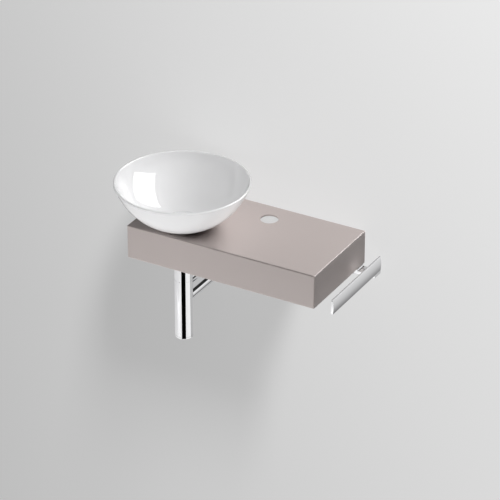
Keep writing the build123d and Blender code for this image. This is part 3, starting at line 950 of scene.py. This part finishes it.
class SINK_OT_rail(bpy.types.Operator):
    """Ease the towel rail and its arm, and model their screws"""

    bl_idname = "sink.rail"
    bl_label = "Towel rail"

    def execute(self, context):
        sizes = context.scene.sink_sizes
        strip = eased("towel_rail", RAIL_ROUND)
        piece("rail_strip", strip, polished_chrome, "sink", "rail_chrome", "towel_rail")
        arm = eased("rail_arm", sizes.sheet_round)
        piece("rail_bracket", arm, polished_chrome, "sink", "rail_chrome", "rail_arm")
        nut_bar = eased("arm_nut_plate", sizes.edge_round)
        piece("rail_nut_bar", nut_bar, zinc_plate, "sink", "screw_steel", "arm_nut_plate")
        piece("arm_fixings", gathered(*arm_fixings()), zinc_plate, "sink", "screw_steel", "arm_screws")
        piece("rail_fixings", gathered(*rail_fixings()), zinc_plate, "sink", "screw_steel", "rail_screws")
        return {"FINISHED"}


def stage_plane(name, corners, material):
    """A flat sheet of the stage."""
    bm = bmesh.new()
    bm.faces.new([bm.verts.new(corner) for corner in corners])
    mesh = bpy.data.meshes.new(name)
    bm.to_mesh(mesh)
    bm.free()
    mesh.materials.append(material)
    sheet = bpy.data.objects.new(name, mesh)
    bpy.context.scene.collection.objects.link(sheet)
    return sheet


def unseen(sheets, *rays):
    """Hide sheets of the stage from kinds of rays."""
    for sheet in sheets:
        for ray in rays:
            setattr(sheet, "visible_" + ray, False)


# The painted spot of light on the wall behind the tap hole, standing in for light that comes through the
# hole: its middle, and how fast it fades across and upwards
PAINTED_SPOT_ACROSS = -0.0055
PAINTED_SPOT_HEIGHT = 0.0032
PAINTED_SPOT_FADE_ACROSS = 25
PAINTED_SPOT_FADE_UPWARDS = 36
# How far the painted light that slopes over the sheet may brighten or darken the glow
PAINTED_LIGHT_DRIFT = 0.09


def one_sided_paint(name, colour, glow, painted_light_rightward=0.0, painted_light_upward=0.0, painted_light_spot=0.0):
    """Matt paint, seen from its front only, with a glow to camera and gloss that carries painted light: a
    steady slope of brightness over the sheet and a painted spot of light.
    """
    material, recipe = new_material(name)
    place = recipe.place()
    mottle = recipe.noise(place, 3.0, 2.0)
    paint = recipe.node("ShaderNodeBsdfDiffuse", None, {
        "Color": recipe.mix(mottle, tinted(colour, 0.995), tinted(colour, 1.005)),
    })
    across = recipe.node("ShaderNodeSeparateXYZ", None, {0: place}, 0)
    height = recipe.node("ShaderNodeSeparateXYZ", None, {0: place}, 2)
    # Painted spot of light: a soft round mask that fades out from the spot's middle
    right = (across - PAINTED_SPOT_ACROSS) * PAINTED_SPOT_FADE_ACROSS
    above = (height - PAINTED_SPOT_HEIGHT) * PAINTED_SPOT_FADE_UPWARDS
    fade = 1 - right * right - above * above
    near = recipe.node("ShaderNodeMath", {"operation": "MAXIMUM"}, {0: fade, 1: 0.0})
    camera_ray = recipe.node("ShaderNodeLightPath", output="Is Camera Ray")
    glossy_ray = recipe.node("ShaderNodeLightPath", output="Is Glossy Ray")
    # Painted light: the glow brightens or darkens steadily across the sheet, up to a limit
    painted_light_slope = across * painted_light_rightward + height * painted_light_upward
    drift = recipe.node("ShaderNodeClamp", None, {0: painted_light_slope, 1: -PAINTED_LIGHT_DRIFT, 2: PAINTED_LIGHT_DRIFT})
    # The even glow, plus the painted light of the slope and of the spot
    light = recipe.node("ShaderNodeEmission", None, {
        "Color": glow + drift + near * painted_light_spot,
        "Strength": camera_ray + glossy_ray,
    })
    lit = recipe.node("ShaderNodeAddShader", None, {0: paint, 1: light})
    behind = recipe.node("ShaderNodeNewGeometry", output="Backfacing")
    clear = recipe.node("ShaderNodeBsdfTransparent")
    both = recipe.node("ShaderNodeMixShader", None, {0: behind, 1: lit, 2: clear})
    recipe.node("ShaderNodeOutputMaterial", None, {"Surface": both})
    return material


def black_felt():
    """Matt black cloth of the dark card and the flags."""
    material, recipe = new_material("black_felt")
    fuzz = recipe.noise(recipe.place(), 80.0, 3.0)
    surface(recipe, {
        "Base Color": recipe.mix(fuzz, (0.001, 0.001, 0.001, 1), (0.004, 0.004, 0.004, 1)),
        "Roughness": 1.0,
        "Specular IOR Level": 0.0,
    })
    return material


def lit_scrim(name, strength):
    """Lit white cloth with a faint weave, clear to the pieces that its card isn't for."""
    material, recipe = new_material(name)
    weave = recipe.noise(recipe.place(), 30.0, 2.0)
    glow = recipe.node("ShaderNodeEmission", None, {
        "Color": recipe.mix(weave, (0.97, 0.97, 0.97, 1), (1, 1, 1, 1)),
        "Strength": strength,
    })
    clear = recipe.node("ShaderNodeBsdfTransparent")
    thin = recipe.node("ShaderNodeAddShader", None, {0: glow, 1: clear})
    recipe.node("ShaderNodeOutputMaterial", None, {"Surface": thin})
    return material


def towards(turn, rise):
    """A direction from the sink, turned to the right of the front and raised above the horizon."""
    return Vector((math.sin(turn) * math.cos(rise), -math.cos(turn) * math.cos(rise), math.sin(rise)))


def soft_light(name, aim, direction, distance, size, level):
    """A square soft light that lights a face turned to it at a level, where 1 is a plain full light."""
    lamp = bpy.data.lights.new(name, "AREA")
    lamp.shape = "SQUARE"
    lamp.size = size
    lamp.energy = level * (math.pi * distance) ** 2
    light = bpy.data.objects.new(name, lamp)
    light.location = aim + direction.normalized() * distance
    light.rotation_euler = (-direction).to_track_quat("-Z", "Y").to_euler()
    light.visible_glossy = False
    bpy.context.scene.collection.objects.link(light)
    return light


def group_of(name, *things):
    """A collection that links a light to some objects only."""
    group = bpy.data.collections.new(name)
    for thing in things:
        group.objects.link(thing)
    return group


def all_but(name, *left_out):
    """A collection that links a light to everything except the objects left out."""
    group = group_of(name, *left_out)
    for member in group.collection_objects:
        member.light_linking.link_state = "EXCLUDE"
    return group


# What the camera sees of the studio, and what gloss sees of it, from straight down at 0 to straight up at 1
SKY_LEVEL = 0.85
SKY_STOPS = (
    (0.0, 0.85), (0.17, 0.8), (0.18, 0.13), (0.2, 0.13), (0.215, 0.3), (0.26, 0.6), (0.325, 0.82),
    (0.38, 0.95), (0.445, 1.0), (0.455, 0.03), (0.675, 0.03), (0.69, 0.6), (1.0, 0.6),
)


def studio_world(scene):
    """A world that the camera sees as pale, and that gloss sees in bands of light and dark."""
    world = bpy.data.worlds.new("studio")
    scene.world = world
    world.use_nodes = True
    recipe = Recipe(world.node_tree)
    camera_ray = recipe.node("ShaderNodeLightPath", output="Is Camera Ray")
    glossy_ray = recipe.node("ShaderNodeLightPath", output="Is Glossy Ray")
    direction = recipe.node("ShaderNodeTexCoord", output="Generated")
    height = recipe.node("ShaderNodeSeparateXYZ", None, {0: direction}, 2)
    shade = recipe.node("ShaderNodeValToRGB", {"stops": SKY_STOPS}, {0: height * 0.5 + 0.5})
    level = camera_ray * SKY_LEVEL + glossy_ray * recipe.node("ShaderNodeRGBToBW", None, {0: shade})
    sky = recipe.node("ShaderNodeBackground", None, {"Color": (1, 1, 1, 1), "Strength": level})
    recipe.node("ShaderNodeOutputWorld", None, {"Surface": sky})


# Lights of the sink: name, direction from the sink, distance, size, level and what each one lights
SINK_LIGHTS = (
    ("low_left_fill", (-0.45, -0.65, -0.61), 1.6, 1.0, 0.374, "fittings"),
    ("low_right_fill", (0.45, -0.65, -0.61), 2.0, 1.4, 0.703, "fittings"),
    ("front_left_fill", (-0.6, -0.75, 0.2), 3.0, 1.6, 0.221, "fittings"),
    ("top_front_light", (0.1, -0.5, 0.86), 3.0, 1.6, 0.311, "fittings"),
    ("top_light", (0.0, 0.0, 1.0), 2.5, 1.5, 0.202, "fittings"),
    ("right_light", (1.0, 0.0, 0.45), 3.0, 1.6, 0.245, "fittings"),
    ("back_right_light", (0.6, 0.5, 0.6), 3.0, 1.6, 0.52, "fittings"),
    ("console_low_light", (0.0, -0.75, -0.66), 2.0, 1.4, 0.85, "console"),
    ("console_low_left_light", (-0.45, -0.65, -0.61), 1.6, 1.0, 0.39, "console"),
    ("console_top_right_light", (0.62, 0.0, 0.785), 3.0, 1.2, 0.475, "console"),
    ("console_back_light", (0.0, 0.82, 0.57), 3.0, 1.1, 1.24, "console"),
)

# The glow that the rail throws on the console's side: its place from the fold's front end, then the light
RAIL_GLOW_STEP = Vector((0, 0.156, -0.06))
RAIL_GLOW_DISTANCE = 0.024
RAIL_GLOW_SIZE = 0.012
RAIL_GLOW_LEVEL = 0.36

# The light that throws the soft shadow on the wall
WALL_LIGHT_FROM = Vector((1.096, -1.587, 3.263))
WALL_LIGHT_DISTANCE = 3.79
WALL_LIGHT_WIDTH = 0.48
WALL_LIGHT_LENGTH = 0.917
WALL_LIGHT_LEVEL = 1.747

# The flags that shape that shadow reach from the console's left end to here
FLAG_RIGHT = 0.111
FLAG_REAR = -0.001

# The wall and the floor: their glow, place and reach. The wall's even glow is given at its middle, then its
# painted light:
# the change per metre rightwards and upwards, and what the painted spot of light behind the tap hole adds
WALL_GLOW_AND_PAINTED_LIGHT = (0.492, 0.123, -0.022, 0.14)
WALL_PLACE = 0.0005
WALL_SIDE = 5
WALL_TOP = 4
FLOOR_GLOW = 0.45
FLOOR_SIDE = 6
FLOOR_REACH = 7
FLOOR_SPLIT = 0.5

# The dark card in front of the trap
DARK_CARD_DISTANCE = 0.9
DARK_CARD_TOP = -0.25
DARK_CARD_SPREAD = math.radians(26)
FAR_CARD_DISTANCE = 3.0


def far_corners(eye, *bearings):
    """Corners of a far card, each at a turn to the right of the front and a rise in degrees from an eye."""
    rays = [towards(math.radians(turn), math.radians(rise)) for turn, rise in bearings]
    return [eye + ray * FAR_CARD_DISTANCE for ray in rays]


def near_corners(*steps):
    """Corners of a card, each at a step from the front end of the console's right fold."""
    return [fold_end + Vector(step) for step in steps]


# Lit cards that only some pieces reflect: name, corners, strength and the pieces
LIT_CARDS = (
    (
        "bowl_card",
        far_corners(bowl_eye, (124, 12), (89, 35), (174, 51), (163, 20)),
        9.0,
        ("bowl_shell", "plug_dome"),
    ),
    (
        "fold_card",
        near_corners((0.002, -0.01, 0.01), (0.002, 0.23, 0.01), (0.016, 0.23, 0.002), (0.016, -0.01, 0.002)),
        6.0,
        ("console_shell",),
    ),
    (
        "arm_card",
        near_corners((0.03, 0.3, 0.002), (0.08, 0.3, 0.002), (0.08, 0.3, 0.045), (0.03, 0.3, 0.045)),
        6.0,
        ("console_shell",),
    ),
    (
        "rail_card",
        far_corners(rail_eye, (115, -6), (170, -6), (170, 26), (115, 26)),
        0.72,
        ("rail_strip", "rail_bracket"),
    ),
)


def floor_corners(front, rear, low):
    """Corners of a strip of the floor."""
    side = FLOOR_SIDE
    return [(-side, front, low), (side, front, low), (side, rear, low), (-side, rear, low)]


def backdrop(colours, low):
    """The wall and the floor, which light and shade nothing. Gloss sees only the floor before the wall."""
    wall = stage_plane(
        "wall",
        [
            (-WALL_SIDE, WALL_PLACE, low),
            (WALL_SIDE, WALL_PLACE, low),
            (WALL_SIDE, WALL_PLACE, WALL_TOP),
            (-WALL_SIDE, WALL_PLACE, WALL_TOP),
        ],
        one_sided_paint("wall_paint", colours.wall, *WALL_GLOW_AND_PAINTED_LIGHT),
    )
    floor_paint = one_sided_paint("floor_paint", colours.floor, FLOOR_GLOW)
    floor = stage_plane("floor", floor_corners(-FLOOR_REACH, FLOOR_SPLIT, low), floor_paint)
    rear_floor = stage_plane("rear_floor", floor_corners(FLOOR_SPLIT, FLOOR_REACH, low), floor_paint)
    unseen((wall, rear_floor), "glossy")
    unseen((wall, floor, rear_floor), "diffuse", "shadow")
    return wall


def dark_card(turn, low, felt):
    """The card that the trap mirrors as a dark stripe."""
    middle = drain_foot + towards(turn, 0) * DARK_CARD_DISTANCE
    across = Vector((math.cos(turn), math.sin(turn), 0)) * DARK_CARD_DISTANCE * math.tan(DARK_CARD_SPREAD)
    foot = Vector((middle.x, middle.y, low))
    top = Vector((middle.x, middle.y, DARK_CARD_TOP))
    return stage_plane("dark_card", [foot - across, foot + across, top + across, top - across], felt)


def lit_cards():
    """The lit cards, each linked to the pieces that mirror it."""
    for name, corners, strength, seen_by in LIT_CARDS:
        card = stage_plane(name, corners, lit_scrim(name + "_scrim", strength))
        card.light_linking.receiver_collection = group_of(name, *(bpy.data.objects[part] for part in seen_by))
        yield card


def shadow_flags(felt):
    """Two sheets on the console's top and front, which block the wall's light and show nowhere else."""
    left, front = console_low.x, console_low.y
    foot, top = console_low.z, console_high.z
    edge = [(left, front, top), (FLAG_RIGHT, front, top)]
    flags = (
        stage_plane("shadow_flag", edge + [(FLAG_RIGHT, FLAG_REAR, top), (left, FLAG_REAR, top)], felt),
        stage_plane("shadow_flag_front", edge + [(FLAG_RIGHT, front, foot), (left, front, foot)], felt),
    )
    unseen(flags, "camera", "diffuse", "glossy")
    return flags


def light_wall(wall, flags):
    """Light the wall alone, with the shadow of the flags and the bowl on it."""
    light = soft_light(
        "wall_light", Vector(), WALL_LIGHT_FROM, WALL_LIGHT_DISTANCE, WALL_LIGHT_WIDTH, WALL_LIGHT_LEVEL
    )
    light.data.shape = "RECTANGLE"
    light.data.size_y = WALL_LIGHT_LENGTH
    light.light_linking.receiver_collection = group_of("wall_only", wall)
    light.light_linking.blocker_collection = group_of("shadow_makers", *flags, bpy.data.objects["bowl_shell"])


def light_sink(aim, wall, flags):
    """Light the fittings and the console, each by its own lights, and the glow on the console's side."""
    console = bpy.data.objects["console_shell"]
    console_only = group_of("console_only", console)
    receivers = {"fittings": all_but("fittings", wall, console), "console": console_only}
    not_flag = all_but("not_flag", *flags)
    for name, direction, distance, size, level, lit in SINK_LIGHTS:
        light = soft_light(name, aim, Vector(direction), distance, size, level)
        light.light_linking.receiver_collection = receivers[lit]
        light.light_linking.blocker_collection = not_flag
    glow_place = fold_end + RAIL_GLOW_STEP
    glow = soft_light("rail_glow", glow_place, RIGHT, RAIL_GLOW_DISTANCE, RAIL_GLOW_SIZE, RAIL_GLOW_LEVEL)
    glow.light_linking.receiver_collection = console_only
    glow.light_linking.blocker_collection = console_only


def place_camera(scene, stage, aim):
    """Aim the camera at the sink."""
    lens = bpy.data.cameras.new("photo_camera")
    lens.lens = stage.lens
    lens.clip_end = 100
    camera = bpy.data.objects.new("photo_camera", lens)
    back = towards(stage.azimuth, stage.elevation)
    camera.location = aim + back * stage.distance
    camera.rotation_euler = (-back).to_track_quat("-Z", "Y").to_euler()
    scene.collection.objects.link(camera)
    scene.camera = camera


class SINK_OT_stage(bpy.types.Operator):
    """Set up the wall, the floor, the cards, the lights and the camera"""

    bl_idname = "sink.stage"
    bl_label = "Stage"

    def execute(self, context):
        scene = context.scene
        scene.view_settings.view_transform = "Standard"
        stage = scene.sink_stage
        aim = Vector(stage.aim)
        felt = black_felt()
        wall = backdrop(scene.sink_colours, stage.floor_height)
        cards = [dark_card(stage.azimuth, stage.floor_height, felt), *lit_cards()]
        unseen(cards, "camera", "diffuse", "shadow")
        flags = shadow_flags(felt)
        light_wall(wall, flags)
        light_sink(aim, wall, flags)
        studio_world(scene)
        place_camera(scene, stage, aim)
        return {"FINISHED"}


class SINK_PT_pieces(bpy.types.Panel):
    """Lists the pieces of the sink and the stage"""

    bl_idname = "SINK_PT_pieces"
    bl_label = "Vessel sink"
    bl_space_type = "VIEW_3D"
    bl_region_type = "UI"
    bl_category = "Sink"

    def draw(self, context):
        for step in steps:
            self.layout.operator(step.bl_idname)


steps = (
    SINK_OT_console,
    SINK_OT_bowl,
    SINK_OT_brackets,
    SINK_OT_drain,
    SINK_OT_trap,
    SINK_OT_outlet,
    SINK_OT_rail,
    SINK_OT_stage,
)
classes = (SinkColours, SinkSizes, SinkStage) + steps + (SINK_PT_pieces,)


def register():
    for part in classes:
        bpy.utils.register_class(part)
    bpy.types.Scene.sink_colours = PointerProperty(type=SinkColours)
    bpy.types.Scene.sink_sizes = PointerProperty(type=SinkSizes)
    bpy.types.Scene.sink_stage = PointerProperty(type=SinkStage)


def unregister():
    del bpy.types.Scene.sink_stage
    del bpy.types.Scene.sink_sizes
    del bpy.types.Scene.sink_colours
    for part in reversed(classes):
        bpy.utils.unregister_class(part)


def main():
    register()
    bpy.ops.sink.console()
    bpy.ops.sink.bowl()
    bpy.ops.sink.brackets()
    bpy.ops.sink.drain()
    bpy.ops.sink.trap()
    bpy.ops.sink.outlet()
    bpy.ops.sink.rail()
    bpy.ops.sink.stage()


if __name__ == "__main__":
    main()
